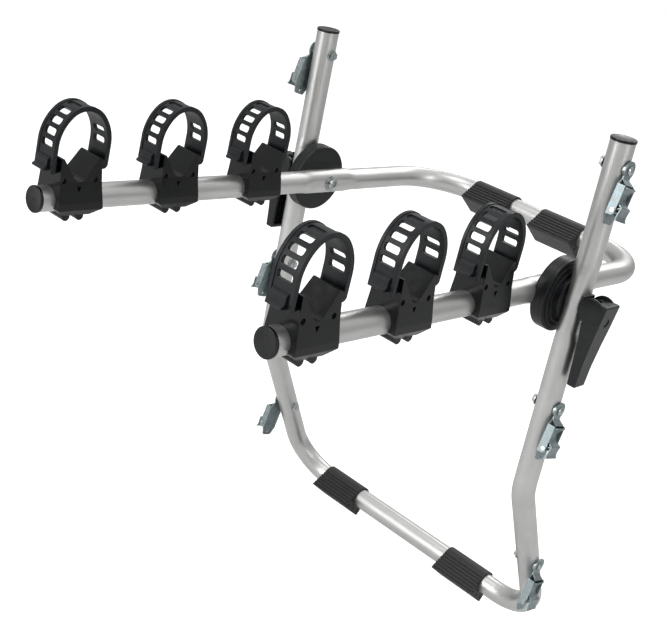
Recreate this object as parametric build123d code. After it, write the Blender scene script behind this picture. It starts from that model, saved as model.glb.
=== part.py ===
from build123d import *
import math
import os

os.makedirs("parts", exist_ok=True)

# Trunk mounted bike rack for three bikes, in millimetres.
# The origin is the middle of the hub axis. +X runs along the hub axis to the right,
# the carrying arms reach out level towards -Y, and the car is on the +Y side. +Z is up.
# Pieces of the right side are modelled first, and the left ones are their mirror images.

# Both tube frames
tube_diameter = 30.0
tube_wall = 1.8
tube_radius = tube_diameter / 2
bore_radius = tube_radius - tube_wall

# Clearances and working sizes
fit_gap = 0.05
running_gap = 0.3
cut_overrun = 6.0
edge_break = 0.6

# Both tubes are pressed flat where the hubs clamp them
flat_squeeze = 2.5
flat_half_length = 38.0
flat_blend = 12.0
flat_radius = tube_radius - flat_squeeze

# Leg frame: two uprights, two lower legs and the lower crossbar, bent from one tube
leg_x = 235.3
upright_lean = 2.89
upright_top = 200.0
upright_drop = 265.0
upright_bend = 62.0
lower_leg_tilt = 30.7
lower_leg_length = 285.0
leg_corner_bend = 66.0

# Arm frame: two arms and the upper crossbar, bent from one tube
arm_x = 189.9
arm_reach = 471.0
arm_back = 253.0
arm_bend = 86.0

# End caps of the tubes
cap_thickness = 3.2
cap_overhang = 0.6
cap_plug_length = 20.0
cap_plug_wall = 2.0
cap_dish_depth = 0.9
cap_dish_rim = 2.4

# Toothed hubs between each arm and its upright
hub_radius = 46.0
hub_lip = 3.2
hub_rim_round = 3.0
hub_rim_width = 4.6
hub_step_count = 3
hub_foot_radius = 27.0
hub_spigot_radius = 11.0
hub_spigot_length = 3.0
tooth_count = 36
tooth_height = 1.5
tooth_gap = 2.6
tooth_gap_floor = 0.8
tooth_inner_radius = 23.0
tooth_outer_radius = 39.0

# Tie bolt through each hub
tie_radius = 4.0
tie_head_radius = 8.0
tie_head_height = 5.2
tie_head_dome = 3.0
tie_socket_radius = 3.4
tie_socket_depth = 2.6
tie_washer_radius = 11.0
tie_washer_thickness = 2.0

# Cam lever at the outer end of each tie bolt, with places measured from its pivot
saddle_thickness = 1.5
saddle_half_width = 11.5
saddle_half_height = 13.0
saddle_depth = 4.0
cam_radius = 12.2
cam_throw = 1.2
lever_width = 30.0
lever_tip_width = 21.0
lever_taper_start = 17.0
lever_wall = 3.0
lever_dip_out = 4.0
lever_dip_up = 12.6
lever_crest_out = 15.0
lever_crest_up = 13.2
lever_nose_out = 19.0
lever_nose_up = 13.0
lever_nose_round = 2.0
lever_knee_out = 12.0
lever_knee_down = 41.0
lever_waist_out = 9.0
lever_waist_down = 70.0
lever_grip_bend = 45.0
lever_tip_out = 7.8
lever_tip_in = 3.1
lever_tip_down = 97.0
lever_tip_round = 2.6
lever_corner_round = 3.0
lever_throat_in = 5.6
lever_throat_down = 35.0
lever_heel_in = 7.5
lever_heel_down = 17.0
lever_pocket_top = 20.0
lever_pocket_floor = 5.0
lever_slot_gap = 0.6
lever_open_angle = 90.0
lever_dimple_radius = 5.5
lever_dimple_depth = 1.0
lever_dimple_down = 9.0
cross_pin_radius = 6.0
cross_pin_inset = 0.8

# Cradles along the arms, with places measured from the axis of the arm
cradle_first = 143.0
cradle_pitch = 144.0
cradle_count = 3
cradle_round = 2.0
cradle_back_base = 36.0
cradle_front_base = 24.5
cradle_base_drop = 8.0
cradle_back_foot = 22.0
cradle_front_foot = 15.0
cradle_foot_wall = 0.5
cradle_back_waist = 31.0
cradle_front_waist = 25.5
cradle_waist_rise = 20.0
cradle_waist_bend = 25.0
cradle_wing_length = 27.0
cradle_tip_rise = 52.0
cradle_tip_wall = 3.4
cradle_tip_round = 1.4
cradle_top_width = 18.2
cradle_mid_width = 20.0
cradle_mid_rise = 25.0
cradle_base_width = 22.5
cradle_lobe_width = 17.5
cradle_lobe_radius = 5.0
cradle_lobe_offset = 9.3
cradle_lobe_fall = 1.5
vee_vertex_rise = 18.0
vee_radius = 9.0
cheek_recess_radius = 3.3
cheek_recess_depth = 2.4
cheek_recess_offset = 21.0
cheek_recess_rise = 27.0
cheek_arrow_rise = 16.5
cheek_arrow_size = 3.4
seat_boss_half_width = 10.0
seat_boss_low = 33.0
seat_boss_high = 46.0

# Screw that holds each cradle through the arm
screw_radius = 2.5
screw_head_radius = 4.4
screw_head_height = 2.6
screw_head_rise = 20.0
screw_tail = 1.4
screw_nut_width = 8.0
screw_nut_height = 4.0

# Ladder strap over each cradle, with places measured from the axis of the arm
strap_width = 33.0
strap_thickness = 5.5
strap_top = 111.0
strap_crown_radius = 32.0
strap_side_radius = 51.0
strap_shoulder = 45.0
strap_tail_rise = 34.0
strap_rim_width = 4.0
strap_rim_height = 0.9
slot_length = 20.0
slot_height = 8.2
slot_round = 2.6
slot_pitch = 14.1
first_slot = 22.9
blind_slot_depth = 1.6
tab_half_width = 10.5
tab_top_rise = 52.0
tab_foot_rise = 37.0
tab_reach = 7.0
tab_shoulder = 2.6
strap_pivot_rise = 43.5
strap_knuckle_radius = 5.5
strap_knuckle_half_width = 8.1
strap_ear_root = 24.0
strap_pin_radius = 1.7

# Webbing buckles on the outer side of the legs, with drops measured from their bolt
buckle_upper_place = 170.0
buckle_middle_place = -139.5
buckle_lower_place = -146.5
buckle_hang = 13.0
buckle_bolt_radius = 3.0
buckle_head_radius = 5.4
buckle_head_height = 3.6
buckle_head_dome = 2.4
buckle_nut_width = 10.0
buckle_nut_height = 4.0
buckle_nut_washer_radius = 7.5
buckle_nut_washer_thickness = 1.2
buckle_bolt_tail = 0.8
buckle_spacer_radius = 8.0
buckle_spacer_thickness = 1.5
buckle_spacer_depth = 3.0
buckle_sheet = 1.8
buckle_lug_radius = 11.0
buckle_neck_half_width = 8.2
buckle_neck_drop = 11.0
buckle_shoulder_drop = 17.0
buckle_half_width = 13.5
buckle_frame_drop = 53.0
buckle_corner_round = 1.5
buckle_tail_drop = 65.0
buckle_tail_half_width = 8.0
buckle_tail_round = 4.0
buckle_tail_hole_radius = 1.6
buckle_tail_hole_drop = 60.0
buckle_flange_height = 10.5
buckle_flange_round = 5.0
buckle_pin_drop = 47.0
buckle_pin_rise = 5.2
buckle_pin_radius = 1.6
buckle_pin_head_radius = 2.8
buckle_pin_head_height = 1.0
buckle_cam_sheet = 1.6
buckle_cam_barrel = 3.4
buckle_cam_top_drop = 19.0
buckle_cam_top_rise = 9.5
buckle_cam_sag = 1.2
buckle_fold_drop = 41.0
buckle_fold_rise = 13.5
buckle_lip_drop = 57.0
buckle_lip_rise = 12.5

# Rubber pads clipped on the two crossbars, with places measured from the tube axis
pad_length = 72.0
pad_wall = 2.7
pad_sole_offset = 26.0
pad_sole_back = 29.0
pad_sole_front = 18.0
pad_lip_offset = 15.0
pad_turn = 143.1
pad_mouth_angle = 62.0
pad_groove_count = 6
pad_groove_depth = 1.3
pad_groove_width = 2.4
pad_groove_margin = 4.0
pad_hole_radius = 1.7
pad_corner_round = 1.8
pad_hole_back_share = 0.68
pad_hole_middle_share = 0.14
pad_hole_front_share = 0.66
pad_hole_depth_share = 0.8
upper_pad_places = {"upper_left": -71.0, "upper_right": 50.0}
lower_pad_places = {"lower_left": -138.0, "lower_right": 113.0}

# Places worked out from the sizes above
lean = math.radians(upright_lean)
tilt = math.radians(lower_leg_tilt)
upright_up = Vector(0, -math.sin(lean), math.cos(lean))
lower_leg_up = Vector(0, -math.sin(tilt), math.cos(tilt))
upright_foot = upright_up * -upright_drop
leg_corner = upright_foot - lower_leg_up * lower_leg_length
forward = Vector(0, -1, 0)
arm_inner_flat = arm_x - flat_radius
arm_outer_flat = arm_x + flat_radius
leg_inner_flat = leg_x - flat_radius
leg_outer_flat = leg_x + flat_radius
hub_split = (arm_outer_flat + leg_inner_flat) / 2
tie_bore = tie_radius + fit_gap
saddle_face = leg_outer_flat + saddle_thickness
lever_pivot_x = saddle_face + running_gap + cam_radius + cam_throw
squeezed_reach = flat_half_length + flat_blend
cradle_foot_drop = tube_radius + cradle_foot_wall
cradle_lobe_drop = cradle_foot_drop + cradle_lobe_fall
shoulder = math.radians(strap_shoulder)
crown_rise = strap_top - strap_crown_radius
side_shift = (strap_side_radius - strap_crown_radius) * math.sin(shoulder)
side_rise = crown_rise - (strap_side_radius - strap_crown_radius) * math.cos(shoulder)
strap_half_span = strap_side_radius - side_shift
strap_pivot_y = strap_half_span - strap_knuckle_radius
lug_face = leg_x + tube_radius + buckle_spacer_thickness
plate_face = lug_face + buckle_sheet
buckle_pin_x = plate_face + buckle_pin_rise


def save(name, *shapes):
    """Write one node: a single solid, or a group of separate solids."""
    pieces = [solid for shape in shapes for solid in shape.solids()]
    if len(pieces) == 1:
        export_step(pieces[0], f"parts/{name}.step")
    else:
        export_step(Compound(children=pieces), f"parts/{name}.step")


def mirrored(shape):
    """The left hand copy of a right hand piece."""
    return mirror(shape, about=Plane.YZ)


def both_sides(shapes):
    """Right hand pieces followed by their left hand copies."""
    return shapes + [mirrored(shape) for shape in shapes]


def save_pair(name, shape):
    """Write a right hand piece and its left hand copy."""
    save(f"{name}_right", shape)
    save(f"{name}_left", mirrored(shape))


def rod(start, direction, radius, length):
    """Solid round bar from a point along a direction."""
    return extrude(Plane(start, z_dir=direction) * Circle(radius), amount=length)


def outline_face(*edges):
    """Flat face inside a closed chain of edges."""
    return make_face(Wire(list(edges)))


def rounded_face(*corners):
    """Flat face from corners of place, place and rounding radius."""
    points = [(across, up) for across, up, _ in corners]
    rounds = [radius for _, _, radius in corners]
    return make_face(FilletPolyline(*points, radius=rounds, close=True))


def slab(face, half_width, plane=Plane.YZ):
    """Solid with a face of the middle plane as its section, as thick on both sides."""
    return extrude(plane * face, amount=half_width, both=True)


def block(low_x, high_x, low_y, high_y, low_z, high_z):
    """Rectangular block between two corners."""
    centre = Pos((low_x + high_x) / 2, (low_y + high_y) / 2, (low_z + high_z) / 2)
    return centre * Box(high_x - low_x, high_y - low_y, high_z - low_z)


def hexagon_bar(start, direction, width, height):
    """Hexagonal bar by its width across flats."""
    return extrude(Plane(start, z_dir=direction)
                   * RegularPolygon(width / 2, side_count=6, major_radius=False),
                   amount=height)


def dome_arc(radius, foot, top):
    """Arc from a rim to the axis of a turned piece, level where it meets the axis."""
    rise = top - foot
    dome_radius = (radius * radius + rise * rise) / (2 * abs(rise))
    half_rise = dome_radius - math.sqrt(dome_radius * dome_radius - radius * radius / 4)
    middle = (radius / 2, top - math.copysign(half_rise, rise))
    return ThreePointArc((radius, foot), middle, (0, top))


def domed_head(start, direction, radius, height, dome):
    """Round screw head with a domed top."""
    side = Line((radius, 0), (radius, height - dome))
    top = dome_arc(radius, height - dome, height)
    axis_edge = Line((0, height), (0, 0))
    foot = Line((0, 0), (radius, 0))
    section = Plane.XZ * outline_face(foot, side, top, axis_edge)
    return Plane(start, z_dir=direction) * revolve(section, axis=Axis.Z)


# Tubes

def tube_outline(plane, radius, squeeze):
    """Outline of the tube in four edges, so that round and flat sections loft cleanly."""
    half_flat = math.pi * flat_squeeze / 2
    if squeeze == 0:
        swing = half_flat / tube_radius
        side = radius * math.cos(swing)
        end = radius * math.sin(swing)
        right = ThreePointArc((side, -end), (radius, 0), (side, end))
        left = ThreePointArc((-side, end), (-radius, 0), (-side, -end))
        reach = radius
    else:
        side = radius - squeeze
        end = half_flat
        right = Line((side, -end), (side, end))
        left = Line((-side, end), (-side, -end))
        reach = end + side
    far = ThreePointArc((side, end), (0, reach), (-side, end))
    near = ThreePointArc((-side, -end), (0, -reach), (side, -end))
    return plane * outline_face(right, far, left, near)


def squeezed_stretch(centre_x, direction, radius):
    """The flattened stretch of a tube with a blend back to round at each end."""
    def section(offset, squeeze):
        place = Vector(centre_x, 0, 0) + direction * offset
        return tube_outline(Plane(place, x_dir=(1, 0, 0), z_dir=direction), radius, squeeze)

    flat = extrude(section(-flat_half_length, flat_squeeze), amount=2 * flat_half_length)
    for side in (-1, 1):
        flat += loft([section(side * flat_half_length, flat_squeeze),
                      section(side * squeezed_reach, 0)])
    return flat


def swept_round(points, bends, radius):
    """Round bar along a bent centre line."""
    path = FilletPolyline(*points, radius=bends)
    return sweep(Plane(path @ 0, z_dir=path % 0) * Circle(radius), path=path)


def beside_leg(place):
    """Move a place of the middle plane out to the right leg."""
    return place + Vector(leg_x, 0, 0)


def leg_bar(radius, extra=0):
    """The leg frame as a solid bar; extra lengthens its open ends."""
    top = rod(beside_leg(upright_up * squeezed_reach), upright_up, radius,
              upright_top - squeezed_reach + extra)
    flat = squeezed_stretch(leg_x, upright_up, radius)
    right = [beside_leg(upright_up * -squeezed_reach), beside_leg(upright_foot),
             beside_leg(leg_corner)]
    left = [Vector(-point.X, point.Y, point.Z) for point in reversed(right)]
    bends = [upright_bend, leg_corner_bend, leg_corner_bend, upright_bend]
    lower = swept_round(right + left, bends, radius)
    return lower + top + flat + mirrored(top) + mirrored(flat)


def arm_bar(radius, extra=0):
    """The arm frame as a solid bar; extra lengthens its open ends."""
    front = rod(Vector(arm_x, -squeezed_reach, 0), forward, radius,
                arm_reach - squeezed_reach + extra)
    flat = squeezed_stretch(arm_x, forward, radius)
    points = [(arm_x, squeezed_reach, 0), (arm_x, arm_back, 0),
              (-arm_x, arm_back, 0), (-arm_x, squeezed_reach, 0)]
    rear = swept_round(points, [arm_bend, arm_bend], radius)
    return rear + front + flat + mirrored(front) + mirrored(flat)


def cross_hole(centre, radius):
    """Cutter for a hole along X through a tube."""
    return rod(centre - Vector(tube_diameter, 0, 0), (1, 0, 0), radius, 2 * tube_diameter)


def buckle_seats():
    """Bolt centre and leg direction of each right hand buckle."""
    return {
        "upper": (beside_leg(upright_up * buckle_upper_place), upright_up),
        "middle": (beside_leg(upright_up * buckle_middle_place), upright_up),
        "lower": (beside_leg(upright_foot + lower_leg_up * buckle_lower_place),
                  lower_leg_up),
    }


def cradle_places():
    """Distances of the cradles in front of the hub axis."""
    return [cradle_first + cradle_pitch * index for index in range(cradle_count)]


def leg_tube():
    """Leg frame tube with the holes for the tie bolts and the buckle bolts."""
    tube = leg_bar(tube_radius) - leg_bar(bore_radius, extra=cut_overrun)
    holes = [cross_hole(Vector(leg_x, 0, 0), tie_bore)]
    for centre, _ in buckle_seats().values():
        holes.append(cross_hole(centre, buckle_bolt_radius + fit_gap))
    return tube - both_sides(holes)


def arm_tube():
    """Arm frame tube with the holes for the tie bolts and the cradle screws."""
    tube = arm_bar(tube_radius) - arm_bar(bore_radius, extra=cut_overrun)
    holes = [cross_hole(Vector(arm_x, 0, 0), tie_bore)]
    for distance in cradle_places():
        foot = Vector(arm_x, -distance, -tube_diameter)
        holes.append(rod(foot, (0, 0, 1), screw_radius + fit_gap, 2 * tube_diameter))
    return tube - both_sides(holes)


def end_cap(centre, direction):
    """Push-in cap of a tube end: flange with a dished face and a hollow plug."""
    flange_radius = tube_radius + cap_overhang
    dish_radius = flange_radius - cap_dish_rim
    plug_radius = bore_radius - fit_gap
    plug_bore = plug_radius - cap_plug_wall
    dish_floor = cap_thickness - cap_dish_depth
    outline = Polyline(
        (0, 0), (plug_bore, 0), (plug_bore, -cap_plug_length),
        (plug_radius, -cap_plug_length), (plug_radius, 0), (flange_radius, 0),
        (flange_radius, cap_thickness - edge_break),
        (flange_radius - edge_break, cap_thickness), (dish_radius, cap_thickness))
    dish = dome_arc(dish_radius, cap_thickness, dish_floor)
    axis_edge = Line((0, dish_floor), (0, 0))
    section = Plane.XZ * outline_face(*outline.edges(), dish, axis_edge)
    return Plane(centre, z_dir=direction) * revolve(section, axis=Axis.Z)


# Hubs

def tooth_gaps(face_x, facing):
    """Cutters for the gaps between the radial teeth of a face of the hub."""
    seat = Plane(origin=(0, 0, tooth_inner_radius), x_dir=(0, 1, 0), z_dir=(0, 0, 1))
    floor_x = face_x - facing * tooth_height
    over_x = face_x + facing * tooth_height
    section = make_face(Polyline(
        (-tooth_gap / 2, -over_x), (tooth_gap / 2, -over_x), (tooth_gap / 2, -face_x),
        (tooth_gap_floor / 2, -floor_x), (-tooth_gap_floor / 2, -floor_x),
        (-tooth_gap / 2, -face_x), close=True))
    gap = extrude(seat * section, amount=tooth_outer_radius - tooth_inner_radius)
    step = 360 / tooth_count
    return [Rot(step * index, 0, 0) * gap for index in range(tooth_count)]


def hub_inner():
    """Hub half that rides on the arm, with a saddle for its flattened stretch."""
    back = arm_outer_flat - hub_lip
    face = hub_split - running_gap / 2
    socket_radius = hub_spigot_radius + fit_gap
    socket_floor = face - hub_spigot_length - running_gap
    profile = rounded_face(
        (back, tie_bore, 0), (back, hub_radius, hub_rim_round), (face, hub_radius, 0),
        (face, socket_radius, 0), (socket_floor, socket_radius, 0),
        (socket_floor, tie_bore, 0))
    half = revolve(Plane.XZ * profile, axis=Axis.X)
    half -= tooth_gaps(face, 1)
    return half - squeezed_stretch(arm_x, forward, tube_radius + fit_gap)


def hub_outer():
    """Hub half that stays on the upright, stepped down towards it."""
    face = hub_split + running_gap / 2
    lip = leg_inner_flat + hub_lip
    stair_start = face + hub_rim_width
    stair_run = (leg_inner_flat - stair_start) / hub_step_count
    stair_drop = (hub_radius - hub_foot_radius) / hub_step_count
    stairs = []
    for index in range(hub_step_count):
        tread_x = stair_start + index * stair_run
        stairs.append((tread_x, hub_radius - index * stair_drop, edge_break))
        stairs.append((tread_x, hub_radius - (index + 1) * stair_drop, 0))
    profile = rounded_face(
        (face, hub_radius, 0), *stairs, (lip, hub_foot_radius, edge_break),
        (lip, tie_bore, 0), (face - hub_spigot_length, tie_bore, 0),
        (face - hub_spigot_length, hub_spigot_radius, 0), (face, hub_spigot_radius, 0))
    half = revolve(Plane.XZ * profile, axis=Axis.X)
    half -= tooth_gaps(face, -1)
    return half - squeezed_stretch(leg_x, upright_up, tube_radius + fit_gap)


def tie_bolt():
    """Bolt with a domed socket head on the inner side of the arm."""
    seat = Vector(arm_inner_flat - tie_washer_thickness, 0, 0)
    length = lever_pivot_x + tie_radius - seat.X
    bolt = rod(seat, (1, 0, 0), tie_radius, length)
    bolt += domed_head(seat, (-1, 0, 0), tie_head_radius, tie_head_height, tie_head_dome)
    socket_mouth = seat - Vector(tie_head_height, 0, 0)
    return bolt - hexagon_bar(socket_mouth, (1, 0, 0), 2 * tie_socket_radius,
                              tie_socket_depth)


def tie_washer():
    """Washer between the bolt head and the flat of the arm."""
    start = Vector(arm_inner_flat - tie_washer_thickness, 0, 0)
    disc = rod(start, (1, 0, 0), tie_washer_radius, tie_washer_thickness)
    return disc - rod(start, (1, 0, 0), tie_bore, tie_washer_thickness)


def saddle_washer():
    """Plate that spreads the cam's push over the flat of the upright."""
    plate = block(saddle_face - saddle_depth, saddle_face,
                  -saddle_half_width, saddle_half_width,
                  -saddle_half_height, saddle_half_height)
    plate -= squeezed_stretch(leg_x, upright_up, tube_radius + fit_gap)
    return plate - rod(Vector(leg_x, 0, 0), (1, 0, 0), tie_bore, tube_diameter)


# Cam lever

def lever_outline():
    """Side view of the lever with its pivot at the origin."""
    grip = rounded_face(
        (0, 0, 0), (lever_dip_out, lever_dip_up, edge_break),
        (lever_crest_out, lever_crest_up, lever_nose_round),
        (lever_nose_out, lever_nose_up, lever_nose_round),
        (lever_knee_out, -lever_knee_down, lever_grip_bend),
        (lever_waist_out, -lever_waist_down, lever_grip_bend),
        (lever_tip_out, -lever_tip_down, lever_tip_round),
        (-lever_tip_in, -lever_tip_down, lever_tip_round),
        (-lever_throat_in, -lever_throat_down, lever_nose_round),
        (-lever_heel_in, -lever_heel_down, lever_nose_round))
    return grip + Pos(-cam_throw, 0) * Circle(cam_radius)


def lever_front_view(inset):
    """Front view of the lever: wide head and a grip that narrows to its tip."""
    head = lever_width / 2 - inset
    tip = lever_tip_width / 2 - inset
    return mirror_outline(
        [(tip, -lever_tip_down, lever_corner_round), (head, -lever_taper_start, 0),
         (head, lever_crest_up + cut_overrun, 0)])


def lever_pocket_outline():
    """Hollow of the grip, open towards the upright."""
    fall = (lever_nose_up + lever_pocket_top) / (lever_nose_up + lever_knee_down)
    top_out = lever_nose_out + (lever_knee_out - lever_nose_out) * fall
    floor = lever_tip_down - lever_pocket_floor
    mouth = -lever_heel_in - cut_overrun
    return rounded_face(
        (mouth, -lever_pocket_top, 0),
        (top_out - lever_wall, -lever_pocket_top, lever_nose_round),
        (lever_knee_out - lever_wall, -lever_knee_down, 0),
        (lever_waist_out - lever_wall, -lever_waist_down, 0),
        (lever_tip_out - lever_wall, -floor, lever_nose_round), (mouth, -floor, 0))


def lever_slot_outline():
    """Swing room of the tie bolt in the cam head, from closed to open."""
    half_slot = tie_radius + lever_slot_gap
    reach = 2 * cam_radius
    swing = math.radians(180 - lever_open_angle)
    corner = (half_slot * math.sin(swing), -half_slot * math.cos(swing))
    far_corner = (corner[0] + reach * math.cos(swing), corner[1] + reach * math.sin(swing))
    wedge = make_face(Polyline(
        (0, -half_slot), (-reach, -half_slot), (-reach, reach), far_corner, corner,
        close=True))
    return wedge + Circle(half_slot)


def cam_lever():
    """Quick release lever: cam head on a cross pin and a hollow grip."""
    inner_half = lever_width / 2 - lever_wall
    lever = slab(lever_outline(), lever_width / 2, Plane.XZ)
    lever &= slab(lever_front_view(0), lever_tip_down)
    pocket = slab(lever_pocket_outline(), inner_half, Plane.XZ)
    lever -= pocket & slab(lever_front_view(lever_wall), lever_tip_down)
    lever -= slab(lever_slot_outline(), tie_radius + lever_slot_gap, Plane.XZ)
    lever -= rod((0, -inner_half, 0), (0, 1, 0), cross_pin_radius + fit_gap, lever_width)
    fall = (lever_nose_up + lever_dimple_down) / (lever_nose_up + lever_knee_down)
    slope = (lever_nose_out - lever_knee_out) / (lever_nose_up + lever_knee_down)
    face_out = lever_nose_out + (lever_knee_out - lever_nose_out) * fall
    outward = Vector(1, 0, -slope)
    dimple = Vector(face_out - lever_dimple_depth, 0, -lever_dimple_down)
    lever -= rod(dimple, outward, lever_dimple_radius, cut_overrun)
    return Pos(lever_pivot_x, 0, 0) * lever


def cross_pin():
    """Threaded cross pin at the end of the tie bolt, hidden by the front cheek."""
    start = -(lever_width / 2 - lever_wall - running_gap)
    end = lever_width / 2 - cross_pin_inset
    pin = rod((0, start, 0), (0, 1, 0), cross_pin_radius, end - start)
    reach = cross_pin_radius + cut_overrun
    pin -= rod((-reach, 0, 0), (1, 0, 0), tie_bore, 2 * reach)
    return Pos(lever_pivot_x, 0, 0) * pin


# Cradles

def mirror_outline(corners, *middle):
    """Corners of one side, the middle ones, and the same corners of the other side."""
    other = [(-across, up, radius) for across, up, radius in reversed(corners)]
    return rounded_face(*corners, *middle, *other)


def cradle_side_view():
    """Outline of the cradle along the arm, with the V on top."""
    tip_inner = cradle_wing_length - cradle_tip_wall
    return rounded_face(
        (cradle_back_foot, -cradle_foot_drop, cradle_round),
        (cradle_back_base, -cradle_base_drop, cradle_round),
        (cradle_back_waist, cradle_waist_rise, cradle_waist_bend),
        (cradle_wing_length, cradle_tip_rise, cradle_tip_round),
        (tip_inner, cradle_tip_rise, cradle_tip_round),
        (0, vee_vertex_rise, vee_radius),
        (-tip_inner, cradle_tip_rise, cradle_tip_round),
        (-cradle_wing_length, cradle_tip_rise, cradle_tip_round),
        (-cradle_front_waist, cradle_waist_rise, cradle_waist_bend),
        (-cradle_front_base, -cradle_base_drop, cradle_round),
        (-cradle_front_foot, -cradle_foot_drop, cradle_round))


def cradle_front_view():
    """Outline of the cradle across the arm, wider towards its base."""
    top = cradle_tip_rise + cut_overrun
    bottom = -cradle_lobe_drop - cradle_lobe_radius - cut_overrun
    return mirror_outline(
        [(cradle_lobe_width, bottom, 0),
         (cradle_lobe_width, -cradle_foot_drop, cradle_round),
         (cradle_base_width, -cradle_base_drop, cradle_round),
         (cradle_base_width, 0, cradle_round),
         (cradle_mid_width, cradle_mid_rise, cradle_round),
         (cradle_top_width, top, 0)])


def strap_ears():
    """Two ears that carry the strap pin on the hub side of the cradle."""
    ear = Pos(strap_pivot_y, strap_pivot_rise) * Circle(strap_knuckle_radius)
    low = strap_pivot_rise - strap_knuckle_radius
    high = strap_pivot_rise + strap_knuckle_radius
    ear += rounded_face((strap_ear_root, low, 0), (strap_pivot_y, low, 0),
                        (strap_pivot_y, high, 0), (strap_ear_root, high, 0))
    return slab(ear, strap_width / 2)


def pivot_bar(radius, half_width):
    """Round bar on the strap pivot."""
    return slab(Pos(strap_pivot_y, strap_pivot_rise) * Circle(radius), half_width)


def cradle_base():
    """V shaped cradle body on the arm axis."""
    body = slab(cradle_side_view(), 2 * cradle_base_width)
    body &= slab(cradle_front_view(), 2 * cradle_back_base, Plane.XZ)
    lobe = Pos(cradle_lobe_offset, -cradle_lobe_drop) * Circle(cradle_lobe_radius)
    body += slab(lobe + mirror(lobe, about=Plane.YZ), cradle_lobe_width)
    body += strap_ears()
    body += block(-seat_boss_half_width, seat_boss_half_width,
                  strap_thickness + running_gap - strap_half_span, -strap_ear_root,
                  seat_boss_low, seat_boss_high)
    body -= pivot_bar(strap_knuckle_radius + running_gap,
                      strap_knuckle_half_width + running_gap)
    body -= pivot_bar(strap_pin_radius + fit_gap, strap_width)
    body -= slab(Circle(tube_radius + fit_gap), 2 * cradle_back_base, Plane.XZ)
    body -= rod((0, 0, -tube_diameter), (0, 0, 1), screw_radius + fit_gap,
                tube_diameter + cradle_tip_rise)
    body -= rod((0, 0, screw_head_rise), (0, 0, 1), screw_head_radius + running_gap,
                cradle_tip_rise)
    for side in (-1, 1):
        body -= cheek_recesses(side)
    return body


def cheek_recesses(side):
    """Two round recesses and a small arrow in one cheek of the cradle."""
    face = Plane(origin=(side * (cradle_mid_width - cheek_recess_depth), 0, 0),
                 x_dir=(0, 1, 0), z_dir=(side, 0, 0))
    rise = side * cheek_recess_rise
    rounds = Pos(cheek_recess_offset, rise) * Circle(cheek_recess_radius)
    rounds += Pos(-cheek_recess_offset, rise) * Circle(cheek_recess_radius)
    arrow = make_face(Polyline(
        (-cheek_arrow_size, side * (cheek_arrow_rise + cheek_arrow_size)),
        (cheek_arrow_size, side * (cheek_arrow_rise + cheek_arrow_size)),
        (0, side * (cheek_arrow_rise - cheek_arrow_size)), close=True))
    return extrude(face * (rounds + arrow), amount=cradle_base_width)


def cradle_screw():
    """Screw from the bottom of the V down through the arm."""
    tail = cradle_foot_drop + screw_nut_height + screw_tail
    screw = rod((0, 0, -tail), (0, 0, 1), screw_radius, tail + screw_head_rise)
    return screw + domed_head((0, 0, screw_head_rise), (0, 0, 1), screw_head_radius,
                              screw_head_height, screw_head_height / 2)


def cradle_nut():
    """Nut held between the two lobes under the cradle."""
    seat = (0, 0, -cradle_foot_drop)
    nut = hexagon_bar(seat, (0, 0, -1), screw_nut_width, screw_nut_height)
    return nut - rod(seat, (0, 0, -1), screw_radius + fit_gap, screw_nut_height)


# Ladder strap

def arch_edges(inset):
    """Centre plane outline of the strap at a depth under its outer surface."""
    crown = strap_crown_radius - inset
    side = strap_side_radius - inset
    span = strap_half_span - inset
    turn = 180 - 2 * strap_shoulder
    foot = strap_tail_rise
    return [
        Line((span, foot), (span, side_rise)),
        CenterArc((-side_shift, side_rise), side, 0, 90 - strap_shoulder),
        CenterArc((0, crown_rise), crown, 90 - strap_shoulder, turn),
        CenterArc((side_shift, side_rise), side, 90 + strap_shoulder, 90 - strap_shoulder),
        Line((-span, side_rise), (-span, foot)),
    ]


def strap_band(outer, inner):
    """Flat band between two depths of the strap."""
    outer_edges = arch_edges(outer)
    inner_edges = arch_edges(inner)
    closing = [
        Line(outer_edges[0] @ 0, inner_edges[0] @ 0),
        Line(outer_edges[-1] @ 1, inner_edges[-1] @ 1),
    ]
    return make_face(Wire(outer_edges + inner_edges + closing))


def strap_surface_plane(along):
    """Plane on the outer surface, at a distance from the crown towards the front tail."""
    side = 1 if along > 0 else -1
    distance = abs(along)
    crown_run = strap_crown_radius * math.radians(90 - strap_shoulder)
    if distance <= crown_run:
        lean_over = distance / strap_crown_radius
        centre_y, centre_z, radius = 0, crown_rise, strap_crown_radius
    else:
        lean_over = (math.radians(90 - strap_shoulder)
                     + (distance - crown_run) / strap_side_radius)
        centre_y, centre_z, radius = side_shift, side_rise, strap_side_radius
    normal = Vector(0, -side * math.sin(lean_over), math.cos(lean_over))
    origin = Vector(0, side * centre_y, centre_z) + normal * radius
    return Plane(origin=origin, x_dir=(1, 0, 0), z_dir=normal)


def ladder_slot(along, depth):
    """Cutter for one slot of the ladder."""
    slot = RectangleRounded(slot_length, slot_height, slot_round)
    return extrude(strap_surface_plane(along) * slot, amount=depth, both=True)


def strap_tab():
    """Pull tab on the outside of the front tail."""
    face = -strap_half_span
    root = face + strap_thickness / 2
    tab = rounded_face(
        (root, tab_foot_rise, 0), (face - tab_reach, tab_foot_rise, edge_break),
        (face - tab_reach, tab_foot_rise + tab_shoulder, edge_break),
        (face - tab_shoulder, tab_foot_rise + 2 * tab_shoulder, edge_break),
        (face - tab_shoulder, tab_top_rise - tab_shoulder, edge_break),
        (face, tab_top_rise, 0), (root, tab_top_rise, 0))
    return slab(tab, tab_half_width)


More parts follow.
